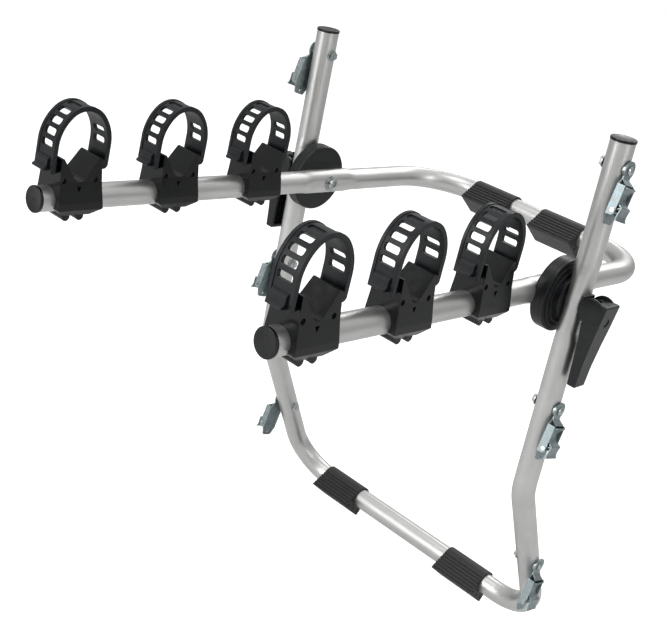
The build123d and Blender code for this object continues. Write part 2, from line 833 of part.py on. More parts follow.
def cradle_strap():
    """Ladder strap that arches over the bike tube and hinges on the hub side."""
    half_width = strap_width / 2
    strap = slab(strap_band(0, strap_thickness), half_width)
    strap -= slab(strap_band(-running_gap, strap_rim_height), half_width - strap_rim_width)
    strap -= block(-strap_width, strap_width, 0, strap_half_span + cut_overrun,
                   0, strap_pivot_rise)
    strap -= pivot_bar(strap_knuckle_radius + running_gap, strap_width)
    knuckle = Pos(strap_pivot_y, strap_pivot_rise) * Circle(strap_knuckle_radius)
    knuckle_top = strap_pivot_rise + 2 * strap_knuckle_radius
    knuckle += rounded_face(
        (strap_half_span - strap_thickness, strap_pivot_rise, 0),
        (strap_half_span - strap_rim_height, strap_pivot_rise, 0),
        (strap_half_span - strap_rim_height, knuckle_top, 0),
        (strap_half_span - strap_thickness, knuckle_top, 0))
    strap += slab(knuckle, strap_knuckle_half_width)
    strap -= pivot_bar(strap_pin_radius + fit_gap, strap_width)
    strap += strap_tab()
    through = 2 * strap_thickness
    for index in range(4):
        strap -= ladder_slot(first_slot + index * slot_pitch, through)
    strap -= ladder_slot(first_slot - slot_pitch, blind_slot_depth + strap_rim_height)
    for index in range(3):
        depth = blind_slot_depth + strap_rim_height if index == 0 else through
        strap -= ladder_slot(first_slot - (index + 4) * slot_pitch, depth)
    return strap


def strap_pin():
    """Hinge pin of the strap through both ears."""
    return pivot_bar(strap_pin_radius, strap_width / 2)


# Buckles

def buckle_plate_outline():
    """Front view of the buckle plate: lug, neck, frame and tail, hanging from its bolt."""
    plate = mirror_outline(
        [(buckle_tail_half_width, -buckle_tail_drop, buckle_tail_round),
         (buckle_half_width, -buckle_frame_drop, buckle_corner_round),
         (buckle_half_width, -buckle_shoulder_drop, buckle_corner_round),
         (buckle_neck_half_width, -buckle_neck_drop, buckle_corner_round),
         (buckle_neck_half_width, 0, 0)])
    plate += Circle(buckle_lug_radius)
    plate -= Circle(buckle_bolt_radius + fit_gap)
    return plate - Pos(0, -buckle_tail_hole_drop) * Circle(buckle_tail_hole_radius)


def buckle_frame():
    """Pressed steel buckle frame with two flanges for the cam pin."""
    frame = extrude(Plane.YZ.offset(lug_face) * buckle_plate_outline(), amount=buckle_sheet)
    flange = rounded_face(
        (lug_face, -buckle_shoulder_drop, 0),
        (lug_face + buckle_flange_height, -buckle_shoulder_drop, buckle_corner_round),
        (lug_face + buckle_flange_height, -buckle_frame_drop, buckle_flange_round),
        (lug_face, -buckle_frame_drop, 0))
    flange -= Pos(buckle_pin_x, -buckle_pin_drop) * Circle(buckle_pin_radius + fit_gap)
    for side in (-1, 1):
        middle = side * (buckle_half_width - buckle_sheet / 2)
        frame += Pos(0, middle, 0) * slab(flange, buckle_sheet / 2, Plane.XZ)
    return frame


def buckle_cam():
    """Folded cam plate with a web to its barrel on the pin and a thumb lip."""
    top = (plate_face + buckle_cam_top_rise, -buckle_cam_top_drop)
    fold = (plate_face + buckle_fold_rise, -buckle_fold_drop)
    pin = (buckle_pin_x, -buckle_pin_drop)
    lip = (plate_face + buckle_lip_rise, -buckle_lip_drop)
    middle = ((top[0] + fold[0]) / 2 - buckle_cam_sag, (top[1] + fold[1]) / 2)
    cam = trace(ThreePointArc(top, middle, fold), line_width=buckle_cam_sheet)
    cam += trace(Line(fold, lip), line_width=buckle_cam_sheet)
    cam += trace(Line(pin, fold), line_width=buckle_cam_sheet)
    cam += Pos(*pin) * Circle(buckle_cam_barrel)
    cam -= Pos(*pin) * Circle(buckle_pin_radius + fit_gap)
    half_width = buckle_half_width - buckle_sheet - running_gap
    return slab(cam, half_width, Plane.XZ)


def buckle_pin():
    """Riveted pin of the cam."""
    centre = Pos(buckle_pin_x, -buckle_pin_drop)
    pin = slab(centre * Circle(buckle_pin_radius), buckle_half_width, Plane.XZ)
    for side in (-1, 1):
        middle = side * (buckle_half_width + buckle_pin_head_height / 2)
        head = slab(centre * Circle(buckle_pin_head_radius), buckle_pin_head_height / 2,
                    Plane.XZ)
        pin += Pos(0, middle, 0) * head
    return pin


def hung(shape, centre):
    """Turn a buckle piece to the angle at which it hangs and move it to its bolt."""
    return Pos(0, centre.Y, centre.Z) * Rot(-buckle_hang, 0, 0) * shape


def buckle_spacer(centre, leg_up):
    """Saddle spacer between the leg and the buckle plate."""
    depth = buckle_spacer_thickness + buckle_spacer_depth
    start = Vector(lug_face - depth, centre.Y, centre.Z)
    spacer = rod(start, (1, 0, 0), buckle_spacer_radius, depth)
    spacer -= rod(centre - leg_up * tube_diameter, leg_up, tube_radius + fit_gap,
                  2 * tube_diameter)
    return spacer - rod(start, (1, 0, 0), buckle_bolt_radius + fit_gap, depth)


def buckle_bolt(centre):
    """Domed bolt through the buckle plate and the leg."""
    head_seat = Vector(plate_face, centre.Y, centre.Z)
    inner_face = leg_x - tube_radius - buckle_nut_washer_thickness
    tail_x = inner_face - buckle_nut_height - buckle_bolt_tail
    shank = rod(head_seat, (-1, 0, 0), buckle_bolt_radius, head_seat.X - tail_x)
    return shank + domed_head(head_seat, (1, 0, 0), buckle_head_radius, buckle_head_height,
                              buckle_head_dome)


def buckle_washer(centre):
    """Washer under the nut on the inner side of the leg."""
    start = Vector(leg_x - tube_radius, centre.Y, centre.Z)
    disc = rod(start, (-1, 0, 0), buckle_nut_washer_radius, buckle_nut_washer_thickness)
    return disc - rod(start, (-1, 0, 0), buckle_bolt_radius + fit_gap,
                      buckle_nut_washer_thickness)


def buckle_nut(centre):
    """Nut on the inner side of the leg."""
    seat = Vector(leg_x - tube_radius - buckle_nut_washer_thickness, centre.Y, centre.Z)
    nut = hexagon_bar(seat, (-1, 0, 0), buckle_nut_width, buckle_nut_height)
    return nut - rod(seat, (-1, 0, 0), buckle_bolt_radius + fit_gap, buckle_nut_height)


# Pads

def pad_section():
    """Section of the pad: flat sole, ribbed back and a wrap that grips the tube."""
    outer = tube_radius + running_gap + pad_wall
    back = (pad_sole_back, pad_sole_offset)
    front = (-pad_sole_front, pad_sole_offset)
    lip = (-pad_sole_front, pad_lip_offset)
    back_angle = math.atan2(pad_sole_offset, pad_sole_back)
    back_distance = math.hypot(pad_sole_offset, pad_sole_back)
    touch_angle = back_angle - math.acos(outer / back_distance)
    end_angle = math.radians(pad_mouth_angle) - math.pi
    middle_angle = (touch_angle + end_angle) / 2

    def on_wrap(angle):
        return (outer * math.cos(angle), outer * math.sin(angle))

    touch = on_wrap(touch_angle)
    section = outline_face(
        Line(lip, front), Line(front, back), Line(back, touch),
        ThreePointArc(touch, on_wrap(middle_angle), on_wrap(end_angle)),
        Line(on_wrap(end_angle), (0, 0)), Line((0, 0), lip))
    sole_corners = [corner for corner in section.vertices()
                    if corner.Y > pad_sole_offset - fit_gap]
    section = fillet(sole_corners, pad_corner_round)
    section -= Circle(tube_radius + running_gap)
    section -= pad_grooves(back, touch)
    hole_line = pad_sole_offset * pad_hole_depth_share
    for place in (pad_sole_back * pad_hole_back_share,
                  pad_sole_back * pad_hole_middle_share,
                  -pad_sole_front * pad_hole_front_share):
        section -= Pos(place, hole_line) * Circle(pad_hole_radius)
    return section


def pad_grooves(start, end):
    """Lengthwise grooves across the ribbed back of the pad."""
    run = math.hypot(end[0] - start[0], end[1] - start[1])
    angle = math.degrees(math.atan2(end[1] - start[1], end[0] - start[0]))
    pitch = (run - 2 * pad_groove_margin) / (pad_groove_count - 1)
    groove = Rectangle(pad_groove_width, 2 * pad_groove_depth)
    places = [pad_groove_margin + pitch * index for index in range(pad_groove_count)]
    return [Pos(*start) * Rot(0, 0, angle) * Pos(place, 0) * groove for place in places]


def tube_pad(centre):
    """Rubber pad around a crossbar, centred on a point of its axis."""
    turned = Rot(0, 0, pad_turn) * pad_section()
    return Pos(centre) * slab(turned, pad_length / 2)


# Nodes

def build_frames():
    """Both tubes and their end caps."""
    save("leg_tube", leg_tube())
    save("arm_tube", arm_tube())
    save_pair("leg_end_cap", end_cap(beside_leg(upright_up * upright_top), upright_up))
    save_pair("arm_end_cap", end_cap(Vector(arm_x, -arm_reach, 0), forward))


def build_hubs():
    """Hubs, tie bolts and cam levers."""
    save_pair("hub_inner", hub_inner())
    save_pair("hub_outer", hub_outer())
    save_pair("tie_bolt", tie_bolt())
    save("tie_washers", *both_sides([tie_washer()]))
    save("saddle_washers", *both_sides([saddle_washer()]))
    save_pair("cam_lever", cam_lever())
    save("cross_pins", *both_sides([cross_pin()]))


def build_cradles():
    """Cradles with their straps, pins, screws and nuts."""
    base, strap = cradle_base(), cradle_strap()
    places = [Pos(arm_x, -distance, 0) for distance in cradle_places()]
    for index, place in enumerate(places, start=1):
        save_pair(f"cradle_base_{index}", place * base)
        save_pair(f"cradle_strap_{index}", place * strap)
    save("strap_pins", *both_sides([place * strap_pin() for place in places]))
    save("cradle_screws", *both_sides([place * cradle_screw() for place in places]))
    save("cradle_nuts", *both_sides([place * cradle_nut() for place in places]))


def build_buckles():
    """Webbing buckles with their bolts, spacers, washers and nuts."""
    bolts, spacers, washers, nuts = [], [], [], []
    for name, (centre, leg_up) in buckle_seats().items():
        save_pair(f"buckle_frame_{name}", hung(buckle_frame(), centre))
        save_pair(f"buckle_cam_{name}", hung(buckle_cam(), centre))
        save_pair(f"buckle_pin_{name}", hung(buckle_pin(), centre))
        bolts.append(buckle_bolt(centre))
        spacers.append(buckle_spacer(centre, leg_up))
        washers.append(buckle_washer(centre))
        nuts.append(buckle_nut(centre))
    save("buckle_bolts", *both_sides(bolts))
    save("buckle_spacers", *both_sides(spacers))
    save("buckle_washers", *both_sides(washers))
    save("buckle_nuts", *both_sides(nuts))


def build_pads():
    """Pads on the upper and the lower crossbar."""
    for name, place in upper_pad_places.items():
        save(f"pad_{name}", tube_pad((place, arm_back, 0)))
    for name, place in lower_pad_places.items():
        save(f"pad_{name}", tube_pad((place, leg_corner.Y, leg_corner.Z)))


build_frames()
build_hubs()
build_cradles()
build_buckles()
build_pads()
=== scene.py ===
"""Looks of a trunk mounted bike rack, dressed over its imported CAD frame.

All sizes are metres in the frame of the CAD part: +X runs along the hub axis, the arms
reach out towards -Y, the car is on the +Y side and +Z is up.
"""

import logging
import math
from dataclasses import dataclass, field
from enum import Enum
from typing import Any

import bmesh
import bpy
from mathutils import Matrix, Vector

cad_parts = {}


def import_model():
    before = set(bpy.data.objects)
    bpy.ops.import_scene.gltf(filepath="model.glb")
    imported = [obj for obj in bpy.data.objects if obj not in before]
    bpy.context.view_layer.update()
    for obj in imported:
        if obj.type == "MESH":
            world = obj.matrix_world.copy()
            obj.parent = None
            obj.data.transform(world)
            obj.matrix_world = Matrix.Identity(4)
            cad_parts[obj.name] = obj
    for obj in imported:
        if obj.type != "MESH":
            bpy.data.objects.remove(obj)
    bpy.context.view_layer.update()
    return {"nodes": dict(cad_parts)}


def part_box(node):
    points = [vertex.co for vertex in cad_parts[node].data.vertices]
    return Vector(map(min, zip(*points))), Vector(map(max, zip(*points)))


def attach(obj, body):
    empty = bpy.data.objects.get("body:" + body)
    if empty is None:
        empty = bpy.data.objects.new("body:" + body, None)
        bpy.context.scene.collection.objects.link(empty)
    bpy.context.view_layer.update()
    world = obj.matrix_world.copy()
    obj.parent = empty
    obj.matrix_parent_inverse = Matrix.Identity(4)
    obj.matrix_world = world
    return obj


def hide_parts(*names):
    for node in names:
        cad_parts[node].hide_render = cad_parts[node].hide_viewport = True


LOG = logging.getLogger("bike_rack")
MM = 0.001
UPRIGHT_LEAN = math.radians(2.89)
LOWER_LEG_TILT = math.radians(30.7)
UPRIGHT_DROP = 265.0
NOISE_LOW, NOISE_HIGH = 0.3, 0.7
RING_STEPS, RIDGE_STEPS = 40, 6
SHARP_ANGLE = math.radians(35)


def down_the_leg(place: float, below_bend: float = 0.0) -> tuple[float, float, float]:
    """Point of the leg's axis in millimetres, by its distances above hub and bend.

    Args:
        place: Distance along the upright above the hub axis.
        below_bend: Distance along the lower leg under the bend.

    Returns:
        The point, in the middle plane of the rack.
    """
    y = -place * math.sin(UPRIGHT_LEAN) + below_bend * math.sin(LOWER_LEG_TILT)
    z = place * math.cos(UPRIGHT_LEAN) - below_bend * math.cos(LOWER_LEG_TILT)
    return 0.0, y, z


BUCKLE_BOLTS = {
    "upper": down_the_leg(170.0),
    "middle": down_the_leg(-139.5),
    "lower": down_the_leg(-UPRIGHT_DROP, below_bend=146.5),
}


class Side(Enum):
    """Side of the rack, with the sign of its X."""

    RIGHT = 1
    LEFT = -1

    @property
    def word(self) -> str:
        """Name of the side as the nodes spell it."""
        return self.name.lower()


def linear_colour(hex_code: str) -> tuple[float, float, float, float]:
    """Turn an sRGB hex colour into linear values.

    Args:
        hex_code: Six hex digits with a leading hash.

    Returns:
        Linear red, green and blue with an alpha of one.
    """
    channels = []
    for start in (1, 3, 5):
        value = int(hex_code[start:start + 2], 16) / 255
        channels.append(value / 12.92 if value <= 0.04045 else ((value + 0.055) / 1.055) ** 2.4)
    return channels[0], channels[1], channels[2], 1.0


def per_metre(size_mm: float) -> float:
    """Scale of a pattern whose cells should measure the given millimetres."""
    return 1.0 / (size_mm * MM)


def add_node(tree: bpy.types.NodeTree, kind: str, inputs: dict[Any, Any] | None = None,
             **settings: Any) -> bpy.types.Node:
    """Add a node with its settings, and set or link its inputs.

    Args:
        tree: Node tree that gets the node.
        kind: Blender's identifier of the node type.
        inputs: Values or output sockets by the name or number of each input.
        **settings: Attributes of the node.

    Returns:
        The new node.
    """
    node = tree.nodes.new(kind)
    for name, value in settings.items():
        setattr(node, name, value)
    for key, value in (inputs or {}).items():
        if isinstance(value, bpy.types.NodeSocket):
            tree.links.new(value, node.inputs[key])
        else:
            node.inputs[key].default_value = value
    return node


def new_material(name: str) -> tuple[bpy.types.Material, bpy.types.NodeTree]:
    """Make an empty node material.

    Args:
        name: Name of the material.

    Returns:
        The material and its node tree.
    """
    material = bpy.data.materials.new(name)
    material.use_nodes = True
    material.node_tree.nodes.clear()
    return material, material.node_tree


def finish_surface(tree: bpy.types.NodeTree, inputs: dict[Any, Any]) -> None:
    """Close a material with its surface shader and output.

    Args:
        tree: Node tree of the material.
        inputs: Values or output sockets by the name of each input of the shader.
    """
    shader = add_node(tree, "ShaderNodeBsdfPrincipled", inputs)
    add_node(tree, "ShaderNodeOutputMaterial", {"Surface": shader.outputs["BSDF"]})


def stretched_place(tree: bpy.types.NodeTree,
                    scale: tuple[float, float, float] = (1.0, 1.0, 1.0)
                    ) -> bpy.types.NodeSocket:
    """Object coordinates stretched along the axes of the rack.

    Args:
        tree: Node tree of the material.
        scale: Stretch of the pattern along X, Y and Z.

    Returns:
        Output socket with the stretched place.
    """
    place = add_node(tree, "ShaderNodeTexCoord")
    mapping = add_node(tree, "ShaderNodeMapping",
                       {"Vector": place.outputs["Object"], "Scale": scale})
    return mapping.outputs["Vector"]


def noise(tree: bpy.types.NodeTree, place: bpy.types.NodeSocket, size_mm: float,
          detail: float = 2.0) -> bpy.types.NodeSocket:
    """Noise whose blotches measure about the given millimetres.

    Args:
        tree: Node tree of the material.
        place: Socket with the place at which the noise is read.
        size_mm: Size of a blotch.
        detail: Number of finer layers on top.

    Returns:
        Output socket with the noise, between zero and one.
    """
    node = add_node(tree, "ShaderNodeTexNoise",
                    {"Vector": place, "Scale": per_metre(size_mm), "Detail": detail})
    return node.outputs["Fac"]


def spread(tree: bpy.types.NodeTree, value: bpy.types.NodeSocket, low: float, high: float
           ) -> bpy.types.NodeSocket:
    """Map the useful middle of a noise to a range.

    Args:
        tree: Node tree of the material.
        value: Socket with the noise.
        low: Result where the noise is low.
        high: Result where the noise is high.

    Returns:
        Output socket with the result.
    """
    node = add_node(tree, "ShaderNodeMapRange",
                    {"Value": value, "From Min": NOISE_LOW, "From Max": NOISE_HIGH,
                     "To Min": low, "To Max": high})
    return node.outputs["Result"]


def mix_colours(tree: bpy.types.NodeTree, share: bpy.types.NodeSocket,
                first: str | bpy.types.NodeSocket, second: str) -> bpy.types.NodeSocket:
    """Blend two colours by a share between zero and one.

    Args:
        tree: Node tree of the material.
        share: Socket with the share of the second colour.
        first: Hex colour, or a socket with a colour.
        second: Hex colour.

    Returns:
        Output socket with the blend.
    """
    node = add_node(tree, "ShaderNodeMix", {"Factor": share}, data_type="RGBA")
    colour_a, colour_b = [s for s in node.inputs if s.name in "AB" and s.type == "RGBA"]
    if isinstance(first, str):
        colour_a.default_value = linear_colour(first)
    else:
        tree.links.new(first, colour_a)
    colour_b.default_value = linear_colour(second)
    return [s for s in node.outputs if s.type == "RGBA"][0]


def softened_edges(tree: bpy.types.NodeTree, radius_mm: float) -> bpy.types.NodeSocket:
    """Round sharp edges over a radius in the shading, so that they catch the light."""
    node = add_node(tree, "ShaderNodeBevel", {"Radius": radius_mm * MM}, samples=4)
    return node.outputs["Normal"]


def relief(tree: bpy.types.NodeTree, height: bpy.types.NodeSocket, depth_mm: float,
           strength: float, base: bpy.types.NodeSocket) -> bpy.types.NodeSocket:
    """Bump of a depth in millimetres on top of another normal.

    Args:
        tree: Node tree of the material.
        height: Height of the relief between zero and one.
        depth_mm: Depth of the relief.
        strength: Share of the relief that shows.
        base: Normal that the relief is added to.

    Returns:
        Output socket with the new normal.
    """
    node = add_node(tree, "ShaderNodeBump",
                    {"Height": height, "Strength": strength, "Distance": depth_mm * MM,
                     "Normal": base})
    return node.outputs["Normal"]


@dataclass(frozen=True)
class AnodisedAluminium:
    """Bent aluminium tube, tumbled to a satin and clear anodised.

    The eye sees a pale even grey with soft long highlights, a faint drawn grain
    along the tube and slightly duller patches from handling.
    """

    name: str = "anodised_aluminium"
    pale: str = "#D0D0CE"
    dull: str = "#C6C6C4"
    roughness_low: float = 0.35
    roughness_high: float = 0.41
    grain_mm: float = 0.35
    patch_mm: float = 38.0
    grain_depth_mm: float = 0.05
    bump_share: float = 0.05
    edge_mm: float = 0.4
    metallic: float = 0.9

    def build(self) -> bpy.types.Material:
        """Build the finish.

        Returns:
            The material.
        """
        material, tree = new_material(self.name)
        place = stretched_place(tree)
        patches = noise(tree, place, self.patch_mm, detail=4.0)
        grain = noise(tree, place, self.grain_mm)
        edges = softened_edges(tree, self.edge_mm)
        finish_surface(tree, {
            "Base Color": mix_colours(tree, spread(tree, patches, 0.0, 1.0), self.pale, self.dull),
            "Roughness": spread(tree, patches, self.roughness_low, self.roughness_high),
            "Metallic": self.metallic,
            "Normal": relief(tree, grain, self.grain_depth_mm, self.bump_share, edges),
        })
        return material


@dataclass(frozen=True)
class MouldedPlastic:
    """Black injection moulded nylon with an eroded mould texture.

    The eye sees a near black with a broad grey sheen on the faces that meet the light,
    a fine pebble grain and edges a touch paler where they rub.
    """

    name: str = "moulded_nylon"
    dark: str = "#060708"
    pale: str = "#0C0E10"
    roughness_low: float = 0.16
    roughness_high: float = 0.26
    grain_mm: float = 0.55
    patch_mm: float = 9.0
    grain_depth_mm: float = 0.06
    bump_share: float = 0.05
    gloss: float = 0.32
    refraction: float = 1.53
    edge_mm: float = 0.7

    def build(self) -> bpy.types.Material:
        """Build the finish.

        Returns:
            The material.
        """
        material, tree = new_material(self.name)
        place = stretched_place(tree)
        patches = noise(tree, place, self.patch_mm, detail=3.0)
        cells = add_node(tree, "ShaderNodeTexVoronoi",
                         {"Vector": place, "Scale": per_metre(self.grain_mm)})
        edges = softened_edges(tree, self.edge_mm)
        finish_surface(tree, {
            "Base Color": mix_colours(tree, spread(tree, patches, 0.0, 1.0), self.dark, self.pale),
            "Roughness": spread(tree, patches, self.roughness_low, self.roughness_high),
            "IOR": self.refraction,
            "Specular IOR Level": self.gloss,
            "Normal": relief(tree, cells.outputs["Distance"], self.grain_depth_mm,
                             self.bump_share, edges),
        })
        return material


@dataclass(frozen=True)
class PadRubber:
    """Extruded rubber cut to length.

    The eye sees a near black skin with fine drawn lines along the tube and a dry bloom,
    and a blacker cut face at each end.
    """

    name: str = "pad_rubber"
    dark: str = "#161617"
    bloom: str = "#232324"
    cut: str = "#0A0A0B"
    roughness_low: float = 0.4
    roughness_high: float = 0.54
    grain_mm: float = 0.7
    patch_mm: float = 6.0
    drawn: tuple[float, float, float] = (0.12, 1.0, 1.0)
    grain_depth_mm: float = 0.1
    bump_share: float = 0.3
    gloss: float = 0.4
    refraction: float = 1.52
    edge_mm: float = 0.6
    cut_from: float = 0.6
    cut_to: float = 0.9

    def build(self) -> bpy.types.Material:
        """Build the finish.

        Returns:
            The material.
        """
        material, tree = new_material(self.name)
        place = stretched_place(tree, self.drawn)
        patches = noise(tree, place, self.patch_mm, detail=5.0)
        grain = noise(tree, place, self.grain_mm)
        skin = mix_colours(tree, spread(tree, patches, 0.0, 1.0), self.dark, self.bloom)
        finish_surface(tree, {
            "Base Color": self.cut_ends(tree, skin),
            "Roughness": spread(tree, patches, self.roughness_low, self.roughness_high),
            "IOR": self.refraction,
            "Specular IOR Level": self.gloss,
            "Normal": relief(tree, grain, self.grain_depth_mm, self.bump_share,
                             softened_edges(tree, self.edge_mm)),
        })
        return material

    def cut_ends(self, tree: bpy.types.NodeTree, skin: bpy.types.NodeSocket
                 ) -> bpy.types.NodeSocket:
        """Darken the faces that look along the crossbar, where the rubber is cut.

        Args:
            tree: Node tree of the material.
            skin: Socket with the colour of the other faces.

        Returns:
            Output socket with the colour of all faces.
        """
        normal = add_node(tree, "ShaderNodeTexCoord").outputs["Normal"]
        along = add_node(tree, "ShaderNodeSeparateXYZ", {0: normal}).outputs["X"]
        size = add_node(tree, "ShaderNodeMath", {0: along}, operation="ABSOLUTE")
        share = add_node(tree, "ShaderNodeMapRange",
                         {"Value": size.outputs[0], "From Min": self.cut_from,
                          "From Max": self.cut_to})
        return mix_colours(tree, share.outputs["Result"], skin, self.cut)


@dataclass(frozen=True)
class ZincPlate:
    """Steel with a bright zinc plating.

    The eye sees a bluish silver, mottled in patches of a few millimetres,
    with fine rolling marks of the sheet.
    """

    name: str = "zinc_plate"
    blue: str = "#7C8E96"
    warm: str = "#A4A9A6"
    roughness_low: float = 0.34
    roughness_high: float = 0.52
    patch_mm: float = 5.0
    mark_mm: float = 0.25
    mark_depth_mm: float = 0.04
    rolled: tuple[float, float, float] = (1.0, 1.0, 0.08)
    bump_share: float = 0.12
    edge_mm: float = 0.35

    def build(self) -> bpy.types.Material:
        """Build the finish.

        Returns:
            The material.
        """
        material, tree = new_material(self.name)
        place = stretched_place(tree)
        patches = noise(tree, place, self.patch_mm, detail=4.0)
        marks = noise(tree, stretched_place(tree, self.rolled), self.mark_mm)
        edges = softened_edges(tree, self.edge_mm)
        finish_surface(tree, {
            "Base Color": mix_colours(tree, spread(tree, patches, 0.0, 1.0), self.blue, self.warm),
            "Roughness": spread(tree, patches, self.roughness_low, self.roughness_high),
            "Metallic": 1.0,
            "Normal": relief(tree, marks, self.mark_depth_mm, self.bump_share, edges),
        })
        return material


@dataclass(frozen=True)
class StudioPaint:
    """Matte white studio floor, which glows so that shadows all but vanish."""

    name: str = "studio_floor"
    pale: str = "#D8D8D8"
    soft: str = "#D2D2D2"
    patch_mm: float = 300.0
    roughness: float = 0.9
    glow: float = 1.0

    def build(self) -> bpy.types.Material:
        """Build the finish.

        Returns:
            The material.
        """
        material, tree = new_material(self.name)
        place = stretched_place(tree)
        patches = noise(tree, place, self.patch_mm)
        tone = mix_colours(tree, patches, self.pale, self.soft)
        seen = add_node(tree, "ShaderNodeLightPath").outputs["Is Camera Ray"]
        glow = add_node(tree, "ShaderNodeMath", {0: seen, 1: self.glow}, operation="MULTIPLY")
        finish_surface(tree, {
            "Base Color": tone,
            "Roughness": self.roughness,
            "Emission Color": tone,
            "Emission Strength": glow.outputs[0],
        })
        return material


class Palette:
    """Finishes of the rack, each built once."""

    def __init__(self) -> None:
        """Build every finish."""
        self.tube = AnodisedAluminium().build()
        self.body_plastic = MouldedPlastic().build()
        self.hub_plastic = MouldedPlastic(
            name="hub_nylon", dark="#0C0D0F", pale="#141618", roughness_low=0.28,
            roughness_high=0.4).build()
        self.cap_plastic = MouldedPlastic(
            name="cap_polyethylene", dark="#0A0B0C", pale="#121416", roughness_low=0.2,
            roughness_high=0.32, grain_mm=0.8).build()
        self.lever_plastic = MouldedPlastic(
            name="lever_nylon", dark="#131516", pale="#1B1E20", roughness_low=0.26,
            roughness_high=0.38, edge_mm=1.1).build()
        self.strap_rubber = MouldedPlastic(
            name="strap_elastomer", dark="#0D0F12", pale="#15181C", roughness_low=0.3,
            roughness_high=0.42, grain_mm=0.9).build()
        self.pad_rubber = PadRubber().build()
        self.sheet = ZincPlate().build()
        self.bolt = ZincPlate(name="zinc_bolt", blue="#A3AEB2", warm="#BFC0BB",
                              roughness_low=0.18, roughness_high=0.32).build()
        self.floor = StudioPaint().build()


@dataclass
class NodeDresser:
    """Gives each CAD node its finish."""

    nodes: dict[str, bpy.types.Object]
    palette: Palette

    def finish_of(self, name: str) -> bpy.types.Material:
        """Pick the finish of a node by what the piece is.

        Args:
            name: Name of the CAD node.

        Returns:
            The finish.
        """
        starts = {
            "leg_tube": self.palette.tube,
            "arm_tube": self.palette.tube,
            "leg_end_cap": self.palette.cap_plastic,
            "arm_end_cap": self.palette.cap_plastic,
            "hub_": self.palette.hub_plastic,
            "cam_lever": self.palette.lever_plastic,
            "cradle_base": self.palette.body_plastic,
            "cradle_strap": self.palette.strap_rubber,
            "strap_pins": self.palette.body_plastic,
            "saddle_washers": self.palette.hub_plastic,
            "cross_pins": self.palette.lever_plastic,
            "buckle_frame": self.palette.sheet,
            "buckle_cam": self.palette.sheet,
            "pad_": self.palette.pad_rubber,
        }
        for start, finish in starts.items():
            if name.startswith(start):
                return finish
        return self.palette.bolt

    def dress(self) -> None:
        """Assign the finishes."""
        for name, node in sorted(self.nodes.items()):
            finish = self.finish_of(name)
            if not node.material_slots:
                node.data.materials.append(finish)
            for slot in node.material_slots:
                slot.material = finish
            LOG.info("node %s wears %s", name, finish.name)


def ring_row_group() -> tuple[bpy.types.NodeTree, dict[str, str]]:
    """Node group that sets a short row of rings on every point of a mesh.

    Returns:
        The node group, and the identifier of each of its named inputs.
    """
    tree = bpy.data.node_groups.new("ring_row", "GeometryNodeTree")
    tree.interface.new_socket("Geometry", in_out="OUTPUT", socket_type="NodeSocketGeometry")
    kinds = {"Geometry": "NodeSocketGeometry", "Count": "NodeSocketInt",
             "Radius": "NodeSocketFloat", "Ridge": "NodeSocketFloat",
             "Pitch": "NodeSocketFloat", "Turn": "NodeSocketRotation",
             "Finish": "NodeSocketMaterial"}
    names = {name: tree.interface.new_socket(name, in_out="INPUT", socket_type=kind).identifier
             for name, kind in kinds.items()}
    given = add_node(tree, "NodeGroupInput").outputs
    step = add_node(tree, "ShaderNodeCombineXYZ", {"Z": given["Pitch"]})
    row = add_node(tree, "GeometryNodeMeshLine",
                   {"Count": given["Count"], "Offset": step.outputs[0]}, mode="OFFSET")
    ring = add_node(tree, "GeometryNodeCurvePrimitiveCircle",
                    {"Resolution": RING_STEPS, "Radius": given["Radius"]})
    section = add_node(tree, "GeometryNodeCurvePrimitiveCircle",
                       {"Resolution": RIDGE_STEPS, "Radius": given["Ridge"]})
    thread = add_node(tree, "GeometryNodeCurveToMesh",
                      {"Curve": ring.outputs["Curve"], "Profile Curve": section.outputs["Curve"]})
    stack = add_node(tree, "GeometryNodeInstanceOnPoints",
                     {"Points": row.outputs["Mesh"], "Instance": thread.outputs["Mesh"]})
    sets = add_node(tree, "GeometryNodeInstanceOnPoints",
                    {"Points": given["Geometry"], "Instance": stack.outputs["Instances"],
                     "Rotation": given["Turn"]})
    solid = add_node(tree, "GeometryNodeRealizeInstances", {0: sets.outputs["Instances"]})
    done = add_node(tree, "GeometryNodeSetMaterial",
                    {"Geometry": solid.outputs[0], "Material": given["Finish"]})
    add_node(tree, "NodeGroupOutput", {0: done.outputs["Geometry"]})
    return tree, names


def bake(piece: bpy.types.Object) -> None:
    """Replace the mesh of a piece by what its modifiers make of it, and drop them.

    Args:
        piece: Piece with live modifiers.
    """
    ready = piece.evaluated_get(bpy.context.evaluated_depsgraph_get())
    mesh = bpy.data.meshes.new_from_object(ready)
    piece.modifiers.clear()
    piece.data = mesh


def new_piece(name: str, mesh: bpy.types.Mesh, body: str) -> bpy.types.Object:
    """Put a finished mesh on a body of the rack.

    Args:
        name: Name of the piece.
        mesh: Its mesh, in the frame of the rack.
        body: Body that it rides on.

    Returns:
        The new piece.
    """
    piece = bpy.data.objects.new(name, mesh)
    bpy.context.scene.collection.objects.link(piece)
    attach(piece, body)
    LOG.info("piece %s rides on %s", name, body)
    return piece


